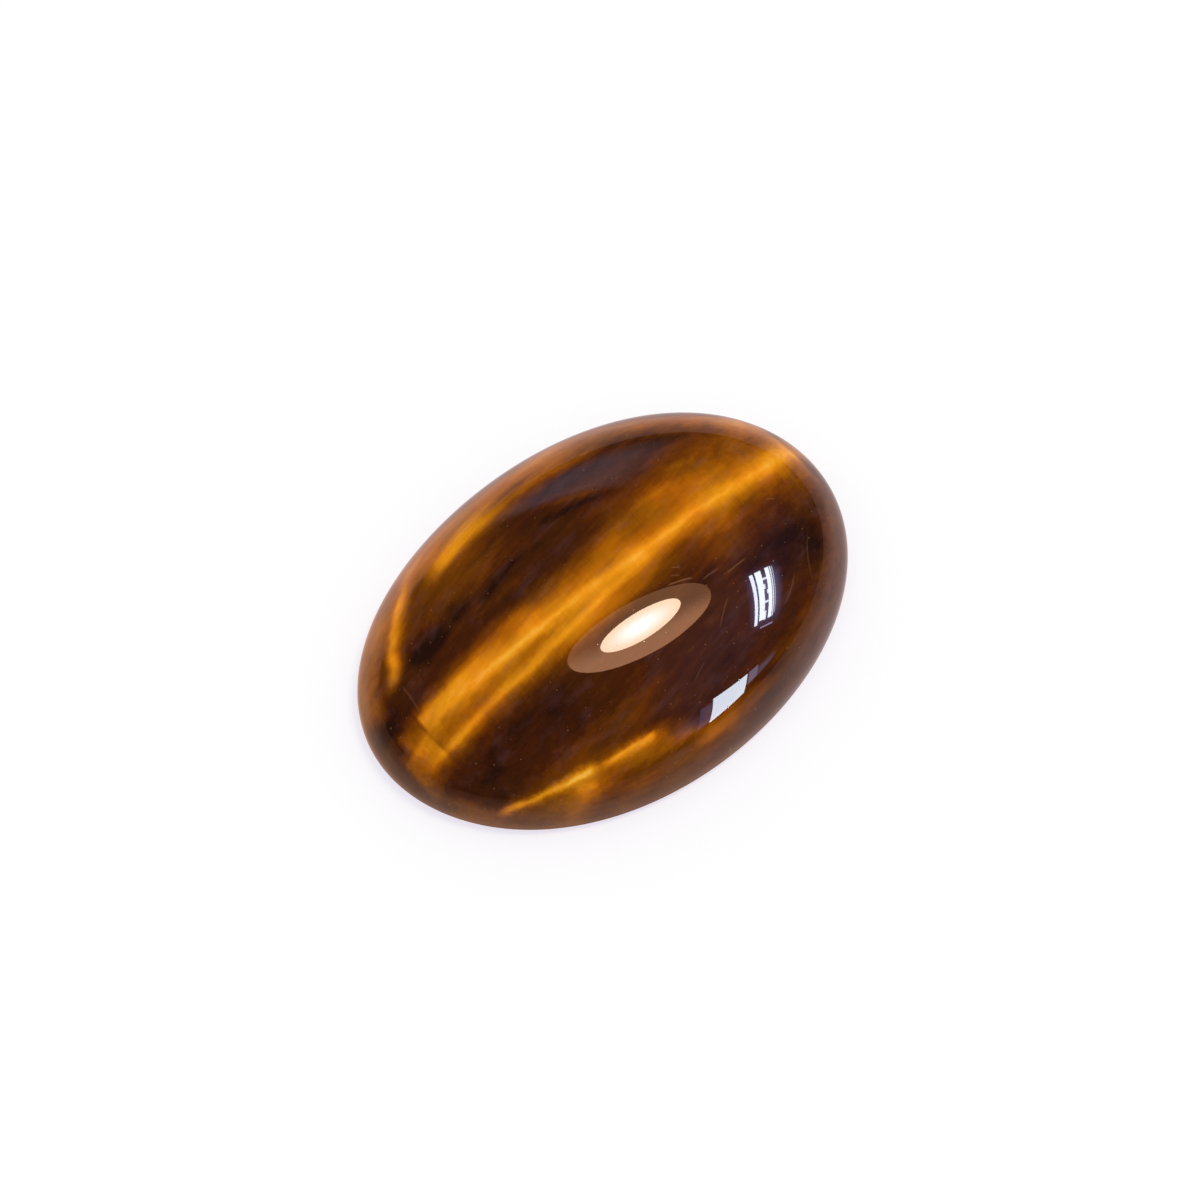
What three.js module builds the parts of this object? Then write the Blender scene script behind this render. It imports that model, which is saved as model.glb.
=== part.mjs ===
// A polished tiger's eye cabochon: one oval stone with a domed top, a narrow
// girdle, a small bevel under it and a flat ground back.
// Millimetres, +Z up. The long axis lies along X and the short axis along Y.
// The origin is on the flat back, at the middle of the oval.
import * as THREE from "three";

// The size of the stone.
const LENGTH = 25.8;
const WIDTH = 18.0;
const HEIGHT = 6.4;

// The edge of the stone: the girdle is its widest line, above the back.
const GIRDLE_HEIGHT = 0.7;
const WALL_FOOT_HEIGHT = 0.28;
const WALL_TAPER = 0.045;
const BEVEL = 0.3;

// The dome's section: 1 is a cone, 2 an ellipse, and more has fuller shoulders.
const DOME_FULLNESS = 2.0;

// How far the hand-cut outline strays from a true ellipse, as shares of its
// radius: one end a little broader, the flanks a little skewed and squared.
const SKEW = 0.0066;
const SQUARED = -0.0036;
const TWISTED = -0.004;

// How fine the facets are.
const SEGMENTS = 96;
const DOME_RINGS = 20;

const halfLength = LENGTH / 2;
const halfWidth = WIDTH / 2;

// The section of a stone one unit wide, from the back's middle over the edge
// to the top of the dome.
function domeSection() {
  const outline = [
    new THREE.Vector2(0, 0),
    new THREE.Vector2(1 - (BEVEL + WALL_TAPER) / halfWidth, 0),
    new THREE.Vector2(1 - WALL_TAPER / halfWidth, WALL_FOOT_HEIGHT),
  ];
  const rise = HEIGHT - GIRDLE_HEIGHT;
  const power = 2 / DOME_FULLNESS;
  for (let ring = 0; ring < DOME_RINGS; ring++) {
    const angle = (ring / DOME_RINGS) * (Math.PI / 2);
    const radius = Math.cos(angle) ** power;
    const height = GIRDLE_HEIGHT + rise * Math.sin(angle) ** power;
    outline.push(new THREE.Vector2(radius, height));
  }
  outline.push(new THREE.Vector2(0, HEIGHT));
  return outline;
}

// The share by which the outline stands in or out of the ellipse at an angle.
function handCut(angle) {
  const skew = SKEW * Math.sin(3 * angle);
  const squared = SQUARED * Math.cos(4 * angle);
  const twisted = TWISTED * Math.sin(4 * angle);
  return 1 + skew + squared + twisted;
}

// Turns the round section into the oval stone, centred and at its full size.
function cutStone() {
  const geometry = new THREE.LatheGeometry(domeSection(), SEGMENTS);
  geometry.rotateX(Math.PI / 2);
  const place = geometry.getAttribute("position");
  for (let i = 0; i < place.count; i++) {
    const angle = Math.atan2(place.getY(i), place.getX(i));
    const cut = handCut(angle);
    place.setXY(i, place.getX(i) * cut, place.getY(i) * cut);
  }
  geometry.computeBoundingBox();
  const box = geometry.boundingBox;
  const middle = box.getCenter(new THREE.Vector3());
  const size = box.getSize(new THREE.Vector3());
  geometry.translate(-middle.x, -middle.y, 0);
  geometry.scale(LENGTH / size.x, WIDTH / size.y, 1);
  geometry.computeVertexNormals();
  return geometry;
}

const polishedStone = new THREE.MeshStandardMaterial({
  color: new THREE.Color("#7a4310"),
  roughness: 0.12,
  metalness: 0,
});

const stone = new THREE.Mesh(cutStone(), polishedStone);
stone.name = "tigers_eye_cabochon";

const cabochon = new THREE.Group();
cabochon.add(stone);

export default cabochon;
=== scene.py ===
"""A polished tiger's eye cabochon on a pale table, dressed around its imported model."""

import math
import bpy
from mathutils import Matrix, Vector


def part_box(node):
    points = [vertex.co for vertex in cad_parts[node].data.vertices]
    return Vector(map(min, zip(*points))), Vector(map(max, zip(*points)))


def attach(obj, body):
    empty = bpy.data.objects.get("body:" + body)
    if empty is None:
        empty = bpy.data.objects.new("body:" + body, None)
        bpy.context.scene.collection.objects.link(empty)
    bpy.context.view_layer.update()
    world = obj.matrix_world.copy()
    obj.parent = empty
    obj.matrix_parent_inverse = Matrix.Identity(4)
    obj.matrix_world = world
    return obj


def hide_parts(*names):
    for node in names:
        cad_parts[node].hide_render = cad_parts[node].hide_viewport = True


bl_info = {
    "name": "Tiger's Eye Cabochon",
    "version": (1, 0, 0),
    "blender": (4, 5, 0),
    "location": "3D View > Sidebar > Cabochon",
    "description": "Cuts a domed oval stone, gives it tiger's eye banding and lights it on a table",
    "category": "Object",
}

from collections import namedtuple

import bpy
from bpy.props import (
    FloatProperty,
    FloatVectorProperty,
    IntProperty,
    PointerProperty,
)
from mathutils import Vector

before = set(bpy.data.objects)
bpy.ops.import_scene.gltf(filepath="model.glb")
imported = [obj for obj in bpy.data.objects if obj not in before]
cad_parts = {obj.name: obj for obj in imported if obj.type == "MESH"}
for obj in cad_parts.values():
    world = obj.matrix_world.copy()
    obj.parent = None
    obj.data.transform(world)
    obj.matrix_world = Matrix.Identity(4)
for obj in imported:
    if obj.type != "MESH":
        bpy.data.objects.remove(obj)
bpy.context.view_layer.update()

STONE_NODE = "tigers_eye_cabochon"
STONE_LOW, STONE_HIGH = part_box(STONE_NODE)
STONE_SIZE = STONE_HIGH - STONE_LOW

MM = 0.001

# Points of the stone closer than this are one point.
WELD_DISTANCE = 0.002 * MM

# An edge between two faces that turns by more than this stays crisp.
CRISP_ANGLE = math.radians(25)

# One band of colour in the stone, drawn in plan. Places and widths are in
# millimetres from the middle of the stone. The band runs from start to end,
# bows to its left by bow, and is as wide as above and below say on each side.
# A crisp edge has a high softness power. Flare is how much wider it ends, and
# the fades are shares of its length.
Band = namedtuple("Band", "name start end bow above below power strength flare fade_in fade_out")

# Broad fields of amber and of dark stone, which the bright lines lie on: partly the stone's own banding,
# partly painted glow of its silky sheen.
FIELDS = (
    Band("golden shoulder, left", (-11, -0.04), (-3.2, 0.21), 0.08, 0.89, 0.48, 5, 0.21, 1.5, 0.028, 0.25),
    Band("golden glow, left end", (-11, 0.1), (-5, 0.39), 0.03, 0.35, 0.52, 3, 0.41, 1.5, 0.037, 0.7),
    Band("amber above it, middle", (-5.5, 0), (3.5, 0.1), 0.05, 0.38, 0.32, 2.5, 0.1, 1.1, 0.25, 0.3),
    Band("brown above it, middle", (-6, 0.48), (3, 1.33), -0.07, 0.63, 0.54, 3, 0.23, 1.4, 0.25, 0.3),
    Band("amber above it, right", (-0.5, -0.12), (12, 1.22), 0.02, 2.18, 1.85, 3, 0.27, 1.5, 0.25, 0.02),
    Band("brown glow, upper right", (2.5, 1.98), (9, 1.66), -0.23, 0.64, 0.89, 3, 0.11, 0.8, 0.35, 0.4),
    Band("amber between the lines", (-12.5, -1.15), (1.8, -0.39), 0.07, 0.53, 0.59, 4, 0.32, 1, 0.08, 0.2),
    Band("amber under both lines", (-5, -1.45), (3.5, -1.1), -0.18, 0.43, 0.42, 2.5, 0.34, 1.3, 0.5, 0.5),
    Band("amber left end", (-12.5, -1.19), (-10.8, -1.01), -0.04, 1.04, 1.47, 4, 0.23, 0.9, 0.15, 0.12),
    Band("olive left end", (-12.2, -0.12), (-10.8, 0.07), -0.02, 0.56, 0.46, 3, 0.24, 1.2, 0.3, 0.15),
    Band("olive patch, right", (3.8, -1.76), (7.5, -1.92), -0.05, 1.05, 1.78, 3, 0.1, 1.5, 0.35, 0.35),
    Band("brown, lower middle", (-9, -5.53), (0.5, -5.81), -0.07, 0.61, 1.38, 2.5, 0.11, 1.3, 0.3, 0.4),
    Band("amber flank, lower left", (-9.4, -6.6), (0.57, -7.89), 0.05, 0.79, 0.74, 4, 0.28, 0.6, 0.35, 0.2),
    Band("brown field, upper left", (-10.5, 4.53), (-1.5, 4.1), 0.2, 1.58, 0.95, 3, 0.15, 1.2, 0.15, 0.4),
    Band("darkest wedge, left", (-9.8, 2.3), (-6.9, 2.85), -0.01, 0.5, 0.5, 3, -0.15, 0.8, 0.3, 0.35),
    Band("dark tip, left", (-12.8, 1.02), (-10.9, 1.62), -0.07, 0.37, 0.56, 3, -0.08, 1, 0.1, 0.25),
    Band("dark seam, upper left", (-5.6, 2.5), (-1.7, 3.5), 0.12, 0.22, 0.22, 2.5, -0.14, 1, 0.25, 0.35),
    Band("dark seam, upper middle", (-1.8, 4.3), (2.9, 3.3), 0.12, 0.2, 0.22, 2, -0.11, 1, 0.4, 0.25),
    Band("dark far right", (4.5, -3.92), (10.8, -3.4), 0.07, 0.89, 1.05, 3, -0.12, 1, 0.2, 0.2),
    Band("dark field, upper right", (0, 5.42), (8.5, 4.07), 0.1, 0.43, 0.57, 2.5, -0.08, 0.6, 0.25, 0.3),
    Band("amber shoulder, top", (-7.5, 6.62), (4.5, 7.27), 0.29, 1.29, 1.58, 4, 0.41, 0.7, 0.2, 0.35),
    Band("brown rim, upper left", (-12.6, 1.57), (-5.5, 7.64), 1.1, 0.9, 0.76, 3, 0.3, 1.3, 0.12, 0.15),
    Band("rim, lower left", (-12.16, -2.83), (-5.44, -7.58), -1.17, 0.46, 0.86, 3, 0.19, 1.2, 0.15, 0.2),
    Band("amber rim, upper right", (0.5, 8.22), (12.2, 2.46), 1.17, 0.54, 1.44, 2.5, 0.31, 0.5, 0.2, 0.15),
    Band("brown flank, right end", (8.8, 3.13), (12.4, 1.66), 0.28, 0.84, 0.39, 3, 0.04, 1, 0.25, 0.05),
    Band("dark field, lower left", (-11, -3.37), (-4, -3.69), -0.1, 0.66, 1.12, 2.5, -0.06, 1, 0.2, 0.3),
    Band("dark rim, lower right", (3, -8.02), (12.33, -1.54), -1.3, 0.64, 0.8, 3, 0.08, 0.7, 0.2, 0.15),
    Band("dark spot", (-2.33, -6.97), (0.24, -7.31), -0.06, 0.31, 0.33, 2.5, -0.06, 1, 0.25, 0.3),
    Band("amber flank, bottom", (-1.48, -8.17), (4.99, -7.63), -0.19, 0.33, 0.47, 3, 0.21, 0.4, 0.25, 0.35),
    Band("dark edge, lower left", (-11.13, -4.59), (-5.5, -8.1), -0.44, 0.34, 0.53, 3, -0.1, 1, 0.2, 0.3),
    Band("dark seam, bottom", (-2.56, -7.28), (0.15, -7.73), 0.04, 0.34, 0.28, 3, -0.12, 1, 0.3, 0.3),
    Band("second dark seam", (-7.2, 2.65), (-5.4, 3.15), 0.03, 0.14, 0.17, 2.5, -0.1, 1, 0.3, 0.4),
    Band("dark lens, top", (-0.9, 5.32), (3.1, 5.4), 0.05, 0.3, 0.34, 3, -0.13, 1, 0.3, 0.35),
    Band("light wisp, top", (-1.3, 5.2), (3.2, 3.45), 0.12, 0.14, 0.16, 2, 0.08, 1, 0.3, 0.3),
)

# The bright silky lines: painted sheen, the glint and glow of the fibres painted into the colour.
SHEEN_LINES = (
    Band("main line, left half", (-10.9, -0.21), (2.5, -0.4), 0.3, 0.53, 0.48, 1.8, 0.39, 1.6, 0.5, 0.15),
    Band("main line, left start", (-11, -0.54), (-4.5, -0.21), -0.03, 0.27, 0.41, 2, 0.19, 1.2, 0.034, 0.6),
    Band("main line, right half", (0.3, -0.58), (11, 0.29), 0.16, 0.69, 0.44, 2, 0.36, 1.4, 0.15, 0.2),
    Band("main line, left tip", (-12.4, -0.84), (-10.8, -0.36), -0.02, 0.18, 0.2, 2, 0.14, 1.2, 0.3, 0.12),
    Band("lower line", (-12.2, -1.78), (3.2, -0.31), -0.27, 0.24, 0.21, 2, 0.24, 1.2, 0.06, 0.3),
    Band("glow under the lower line", (-11.5, -1.84), (1, -1.35), 0.08, 0.34, 0.61, 2, 0.37, 1.4, 0.1, 0.4),
    Band("upper streak", (-6.6, 5.43), (-0.8, 6.94), 0.07, 0.36, 0.32, 2.5, 0.22, 1.8, 0.3, 0.35),
    Band("lower left streak", (-10.53, -4.97), (-5.46, -6.67), -0.22, 0.12, 0.1, 2, 0.42, 1.7, 0.12, 0.15),
    Band("lower left branch", (-7.3, -6.5), (-5.87, -7.23), -0.06, 0.14, 0.15, 2, 0.16, 1.3, 0.35, 0.35),
    Band("lower streak", (-6.13, -6.59), (-2.4, -7.12), -0.06, 0.11, 0.19, 2, 0.4, 1.3, 0.4, 0.14),
    Band("thin line, bottom", (-6.94, -7.51), (3.46, -8.26), -0.49, 0.21, 0.31, 2, 0.21, 1.5, 0.3, 0.4),
    Band("main line, right end", (8.8, 0.14), (13, 1.11), 0.06, 0.57, 0.53, 2, 0.43, 1.7, 0.45, 0.02),
    Band("upper left arc", (-10.4, 3.26), (-6, 7.16), 0.18, 0.22, 0.42, 2, 0.45, 1.1, 0.15, 0.45),
    Band("hook of the arc", (-11.3, 2.06), (-9.6, 3.96), -0.1, 0.25, 0.32, 2, 0.52, 1.4, 0.5, 0.35),
    Band("tail of the arc", (-7, 6.56), (-1.5, 7.89), 0.32, 0.17, 0.17, 2, 0.05, 1, 0.25, 0.4),
    Band("thin line, top", (-3.4, 6.51), (2.5, 7.07), 0.12, 0.17, 0.24, 2, -0.14, 1.4, 0.25, 0.4),
    Band("faint line, upper right", (1.2, 6.33), (4.6, 6.13), -0.1, 0.18, 0.23, 2, 0.14, 1.5, 0.3, 0.4),
    Band("main line, crest", (-1.5, -0.44), (11, 0.48), 0.03, 0.15, 0.15, 2, 0.1, 1.2, 0.25, 0.2),
    Band("main line, left crest", (-10.8, -0.28), (-1, -0.28), 0.06, 0.14, 0.14, 2, 0.07, 1, 0.1, 0.25),
    Band("lower left glow", (-10.25, -5.14), (-5.48, -6.72), -0.19, 0.36, 0.26, 2, 0.2, 1.3, 0.2, 0.2),
)

# The stone's level between its bands, from 0, darkest, to 1, brightest.
PLAIN_LEVEL = 0.13

# Where each named colour of the stone stands on that scale.
COLOUR_STOPS = (
    ("darkest", 0.0),
    ("dark_brown", 0.16),
    ("brown", 0.34),
    ("amber", 0.58),
    ("gold", 0.82),
    ("brightest", 1.0),
)


def srgb(red, green, blue):
    """A colour as picked, from 0 to 255, as the linear colour that shaders use.

    The numbers in it are those of the sRGB standard.
    """
    def linear(value):
        share = value / 255
        return share / 12.92 if share <= 0.04045 else ((share + 0.055) / 1.055) ** 2.4

    return (linear(red), linear(green), linear(blue))


def metres(label, description, default, least=-1.0):
    """A length property."""
    return FloatProperty(name=label, description=description, default=default, min=least, unit="LENGTH")


def degrees(label, description, default):
    """An angle property, given in degrees."""
    turn = math.radians(default)
    return FloatProperty(name=label, description=description, default=turn, subtype="ANGLE")


def radius_share(label, description, default):
    """A property that is a share of the outline's radius."""
    return FloatProperty(name=label, description=description, default=default)


def count(label, description, default, least=0):
    """A property in whole numbers."""
    return IntProperty(name=label, description=description, default=default, min=least)


class CABOCHON_PG_shape(bpy.types.PropertyGroup):
    """The size and the cut of the stone."""

    length: metres("Length", "Long axis of the oval", STONE_SIZE.x, MM)
    width: metres("Width", "Short axis of the oval", STONE_SIZE.y, MM)
    height: metres("Height", "From the flat back to the top of the dome", STONE_SIZE.z, MM)
    girdle_height: metres("Girdle Height", "Height of the widest line above the back", 0.7 * MM, 0)
    foot_height: metres("Wall Foot Height", "Height at which the bevel turns into the wall", 0.28 * MM, 0)
    wall_taper: metres("Wall Taper", "How far the wall leans in down to the bevel", 0.045 * MM, 0)
    bevel: metres("Bevel", "How far the bevel cuts in around the back", 0.3 * MM, 0)
    fullness: FloatProperty(
        name="Dome Fullness",
        description="1 is a cone, 2 an ellipse, and more has fuller shoulders",
        default=2.0,
        min=1.0,
        max=4.0,
    )
    skew: radius_share("Skew", "How much broader one end of the outline is", 0.0066)
    squared: radius_share("Squared", "How much the outline is squared", -0.0036)
    twisted: radius_share("Twisted", "How much the squaring is turned", -0.004)
    waviness: metres("Polish Waviness", "Height of the faint waves of the hand polish", 0.0035 * MM, 0)
    wave_length: metres("Wave Length", "Width of one of those waves", 2.6 * MM, 0.1 * MM)
    segments: count("Segments", "Faces around the stone", 360, 12)
    dome_rings: count("Dome Rings", "Rings of faces from the girdle to the top", 96, 4)
    edge_rings: count("Edge Rings", "Rings of faces in the wall and the bevel", 14, 2)
    back_rings: count("Back Rings", "Rings of faces in the flat back", 24, 2)
    seed: count("Seed", "Picks another set of polish waves", 4)


def colour_property(label, description, default):
    """A colour property, as shaders use it."""
    return FloatVectorProperty(
        name=label,
        description=description,
        subtype="COLOR",
        min=0,
        max=1,
        default=default,
    )


def stone_colour(label, description, *picked):
    """A colour property of the stone, as picked."""
    return colour_property(label, description, srgb(*picked))


class CABOCHON_PG_colours(bpy.types.PropertyGroup):
    """The stone's colours, from its dark layers to its brightest fibres; the brighter ones carry the
    painted sheen.
    """

    darkest: stone_colour("Darkest", "The deepest layers", 34, 14, 7)
    dark_brown: stone_colour("Dark Brown", "The stone between the bands", 66, 30, 6)
    brown: stone_colour("Brown", "The dull fibres", 108, 57, 2)
    # Amber, gold and brightest are mostly reached in the painted sheen: the glow and crest of the silky
    # lines, painted into the colour.
    amber: stone_colour("Amber", "The glow beside the bright lines", 171, 100, 6)
    gold: stone_colour("Gold", "The bright fibres", 226, 145, 22)
    brightest: stone_colour("Brightest", "The crest of the brightest line", 246, 184, 70)
    speck: stone_colour("Specks", "Pale grains and open pits in the polish", 150, 104, 72)
    haze: stone_colour("Haze", "Milky film in patches of the dark stone", 112, 84, 92)
    ground: stone_colour("Ground Back", "The dull grey-brown film of the ground back", 122, 86, 50)


class CABOCHON_PG_studio(bpy.types.PropertyGroup):
    """The table, the light and the camera."""

    azimuth: degrees("Camera Azimuth", "Turn of the camera around the stone", -38)
    elevation: degrees("Camera Elevation", "Height of the camera above the horizon", 65)
    distance: metres("Camera Distance", "From the camera to the middle of the stone", 0.3)
    aim_height: metres("Aim Height", "Height above the table that the camera is turned to", 3.0 * MM)
    step_right: metres("Step Right", "How far the camera is moved to its own right", -0.291 * MM)
    step_up: metres("Step Up", "How far the camera is moved up its own picture", 0.097 * MM)
    lens: FloatProperty(
        name="Lens",
        description="Focal length in millimetres on a 36 mm wide sensor",
        default=190.4,
        min=1,
    )
    table_radius: metres("Table Radius", "Radius of the pale table", 3.0)
    table_colour: colour_property("Table Colour", "The plain pale table", (0.28, 0.36, 0.27))


def put(tree, socket, value):
    """Feeds an input from an output or from a node's first output, or sets it to a plain value."""
    if isinstance(value, bpy.types.Node):
        value = value.outputs[0]
    if isinstance(value, bpy.types.NodeSocket):
        tree.links.new(value, socket)
    else:
        socket.default_value = value


def add(tree, kind, *values, label="", **named):
    """Adds a node. Its inputs are given in order or by name, and its settings in small letters."""
    node = tree.nodes.new(kind)
    node.label = label
    for name, value in named.items():
        if name.islower():
            setattr(node, name, value)
    for socket, value in zip(node.inputs, values):
        put(tree, socket, value)
    for name, value in named.items():
        if not name.islower():
            put(tree, node.inputs[name.replace("_", " ")], value)
    return node


def maths(tree, operation, *values, label=""):
    """Works out a plain number from others."""
    return add(tree, "ShaderNodeMath", *values, label=label, operation=operation).outputs[0]


def times(tree, first, second):
    """The product of two plain numbers."""
    return maths(tree, "MULTIPLY", first, second)


def vectors(tree, operation, *values, label=""):
    """Works out a vector, or a number, from vectors."""
    node = add(tree, "ShaderNodeVectorMath", *values, label=label, operation=operation)
    gives_number = operation in {"DOT_PRODUCT", "LENGTH"}
    return node.outputs["Value" if gives_number else "Vector"]


def combine(tree, x, y, z):
    """A vector from its three parts."""
    return add(tree, "ShaderNodeCombineXYZ", x, y, z).outputs[0]


def separate(tree, vector):
    """The three parts of a vector."""
    return add(tree, "ShaderNodeSeparateXYZ", vector).outputs


def ramp_share(tree, value, low, high, out_low=0.0, out_high=1.0, label=""):
    """Maps a value smoothly from one range to another, held at both ends."""
    node = add(
        tree,
        "ShaderNodeMapRange",
        label=label,
        interpolation_type="SMOOTHSTEP",
        Value=value,
        From_Min=low,
        From_Max=high,
        To_Min=out_low,
        To_Max=out_high,
    )
    return node.outputs["Result"]


def open_tree(name, kind, inputs, result):
    """Starts a node tree with these inputs and one result, each given as (name, socket kind)."""
    tree = bpy.data.node_groups.new(name, kind)
    for label, socket_kind in inputs:
        tree.interface.new_socket(label, in_out="INPUT", socket_type=socket_kind)
    tree.interface.new_socket(result[0], in_out="OUTPUT", socket_type=result[1])
    start = tree.nodes.new("NodeGroupInput")
    end = tree.nodes.new("NodeGroupOutput")
    return tree, start.outputs, end.inputs[0]


NUMBER = "NodeSocketFloat"
WHOLE = "NodeSocketInt"
VECTOR = "NodeSocketVector"
GEOMETRY = "NodeSocketGeometry"
MATERIAL = "NodeSocketMaterial"


def section_points(tree, sizes, half_width):
    """The stone's section in the XZ plane, one unit wide, as points in order."""
    taper = maths(tree, "DIVIDE", sizes["Wall Taper"], half_width)
    bevel = maths(tree, "DIVIDE", sizes["Bevel"], half_width)
    foot_radius = maths(tree, "SUBTRACT", 1.0, taper)
    back_radius = maths(tree, "SUBTRACT", foot_radius, bevel, label="radius of the flat back")
    back_edge = combine(tree, back_radius, 0.0, 0.0)
    back = add(
        tree,
        "GeometryNodeMeshLine",
        mode="END_POINTS",
        label="back",
        Count=sizes["Back Rings"],
        Offset=back_edge,
    )

    foot = combine(tree, foot_radius, 0.0, sizes["Wall Foot Height"])
    girdle = combine(tree, 1.0, 0.0, sizes["Girdle Height"])
    wall = combine(tree, 1.0, 0.0, sizes["Wall Foot Height"])
    edge = add(
        tree,
        "GeometryNodeCurvePrimitiveBezierSegment",
        label="bevel and wall",
        Resolution=sizes["Edge Rings"],
        Start=back_edge,
        Start_Handle=foot,
        End_Handle=wall,
        End=girdle,
    )
    edge_line = add(tree, "GeometryNodeCurveToMesh", edge)

    dome = add(
        tree,
        "GeometryNodeMeshLine",
        mode="END_POINTS",
        label="dome",
        Count=sizes["Dome Rings"],
        Offset=(math.pi / 2, 0.0, 0.0),
    )
    angle = separate(tree, add(tree, "GeometryNodeInputPosition"))[0]
    power = maths(tree, "DIVIDE", 2.0, sizes["Dome Fullness"])
    cosine = maths(tree, "MAXIMUM", maths(tree, "COSINE", angle), 0.0)
    radius = maths(tree, "POWER", cosine, power)
    climb = maths(tree, "POWER", maths(tree, "SINE", angle), power)
    rise = maths(tree, "SUBTRACT", sizes["Height"], sizes["Girdle Height"])
    height = maths(tree, "MULTIPLY_ADD", climb, rise, sizes["Girdle Height"])
    shaped = add(tree, "GeometryNodeSetPosition", dome, Position=combine(tree, radius, 0.0, height))

    section = tree.nodes.new("GeometryNodeJoinGeometry")
    for part in (shaped, edge_line, back):
        tree.links.new(part.outputs[0], section.inputs[0])
    return section.outputs[0]


def own_properties(group):
    """The properties that a group declares itself."""
    return [prop for prop in group.bl_rna.properties if prop.identifier not in {"rna_type", "name"}]


def cut_tree(shape):
    """The geometry nodes that cut the stone: its section is turned around and pressed into the oval.

    They have an input for each property of the shape, with the same name.
    """
    inputs = [("Geometry", GEOMETRY), ("Material", MATERIAL)]
    inputs += [(prop.name, WHOLE if prop.type == "INT" else NUMBER) for prop in own_properties(shape)]
    tree, sizes, result = open_tree("Cut cabochon", "GeometryNodeTree", inputs, ("Geometry", GEOMETRY))
    here = add(tree, "GeometryNodeInputPosition")
    half_width = times(tree, sizes["Width"], 0.5)
    section = section_points(tree, sizes, half_width)
    rings = add(tree, "GeometryNodeAttributeDomainSize", section).outputs["Point Count"]

    sheet = add(
        tree,
        "GeometryNodeMeshGrid",
        1.0,
        1.0,
        label="sheet that is rolled round",
        Vertices_X=maths(tree, "ADD", sizes["Segments"], 1),
        Vertices_Y=rings,
    )
    place = separate(tree, here)
    turn = times(tree, place[0], 2 * math.pi)
    last_ring = maths(tree, "SUBTRACT", rings, 1)
    ring = maths(tree, "ROUND", times(tree, maths(tree, "ADD", place[1], 0.5), last_ring))
    sample = add(
        tree,
        "GeometryNodeSampleIndex",
        data_type="FLOAT_VECTOR",
        domain="POINT",
        Geometry=section,
        Value=here,
        Index=ring,
    )
    profile = separate(tree, sample)

    threefold = times(tree, turn, 3)
    fourfold = times(tree, turn, 4)
    skew = times(tree, maths(tree, "SINE", threefold), sizes["Skew"])
    squared = times(tree, maths(tree, "COSINE", fourfold), sizes["Squared"])
    twisted = times(tree, maths(tree, "SINE", fourfold), sizes["Twisted"])
    strays = maths(tree, "ADD", skew, maths(tree, "ADD", squared, twisted))
    radius = maths(tree, "MULTIPLY_ADD", profile[0], strays, profile[0])
    across = times(tree, maths(tree, "COSINE", turn), radius)
    along = times(tree, maths(tree, "SINE", turn), radius)
    turned = add(
        tree,
        "GeometryNodeSetPosition",
        sheet.outputs["Mesh"],
        Position=combine(tree, across, along, profile[2]),
    )

    box = add(tree, "GeometryNodeBoundBox", turned)
    low, high = box.outputs["Min"], box.outputs["Max"]
    middle = vectors(tree, "MULTIPLY", vectors(tree, "ADD", low, high), (0.5, 0.5, 0.0))
    extent = separate(tree, vectors(tree, "SUBTRACT", high, low))
    lengthways = maths(tree, "DIVIDE", sizes["Length"], extent[0])
    widthways = maths(tree, "DIVIDE", sizes["Width"], extent[1])
    stretch = combine(tree, lengthways, widthways, 1.0)
    pressed = add(tree, "GeometryNodeSetPosition", turned)
    centred = vectors(tree, "SUBTRACT", here, middle)
    put(tree, pressed.inputs["Position"], vectors(tree, "MULTIPLY", centred, stretch))
    welded = add(tree, "GeometryNodeMergeByDistance", pressed, Distance=WELD_DISTANCE)

    waves = add(
        tree,
        "ShaderNodeTexNoise",
        noise_dimensions="4D",
        label="waves of the hand polish",
        Vector=here,
        W=sizes["Seed"],
        Scale=maths(tree, "DIVIDE", 1.0, sizes["Wave Length"]),
        Detail=1.0,
    )
    level = separate(tree, here)[2]
    full_height = times(tree, sizes["Girdle Height"], 2)
    on_dome = ramp_share(tree, level, sizes["Girdle Height"], full_height)
    deepest = times(tree, waves, sizes["Polish Waviness"])
    depth = times(tree, deepest, on_dome)
    inwards = vectors(tree, "SCALE", add(tree, "GeometryNodeInputNormal"))
    put(tree, inwards.node.inputs["Scale"], times(tree, depth, -1.0))
    polished = add(tree, "GeometryNodeSetPosition", welded, Offset=inwards)

    smooth = add(tree, "GeometryNodeSetShadeSmooth", polished)
    bend = add(tree, "GeometryNodeInputMeshEdgeAngle").outputs["Unsigned Angle"]
    corner = maths(tree, "GREATER_THAN", bend, CRISP_ANGLE)
    crisp = add(
        tree,
        "GeometryNodeSetShadeSmooth",
        smooth,
        domain="EDGE",
        label="crisp back",
        Selection=corner,
        Shade_Smooth=False,
    )
    real = add(tree, "GeometryNodeRealizeInstances", crisp)
    finished = add(tree, "GeometryNodeSetMaterial", real, Material=sizes["Material"])
    put(tree, result, finished)
    return tree


# What a band says in plain numbers.
NUMBER_FIELDS = Band._fields[Band._fields.index("bow"):]


def input_name(field):
    """The name of the input that takes up a field of a band."""
    return field.replace("_", " ").title()


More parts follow.
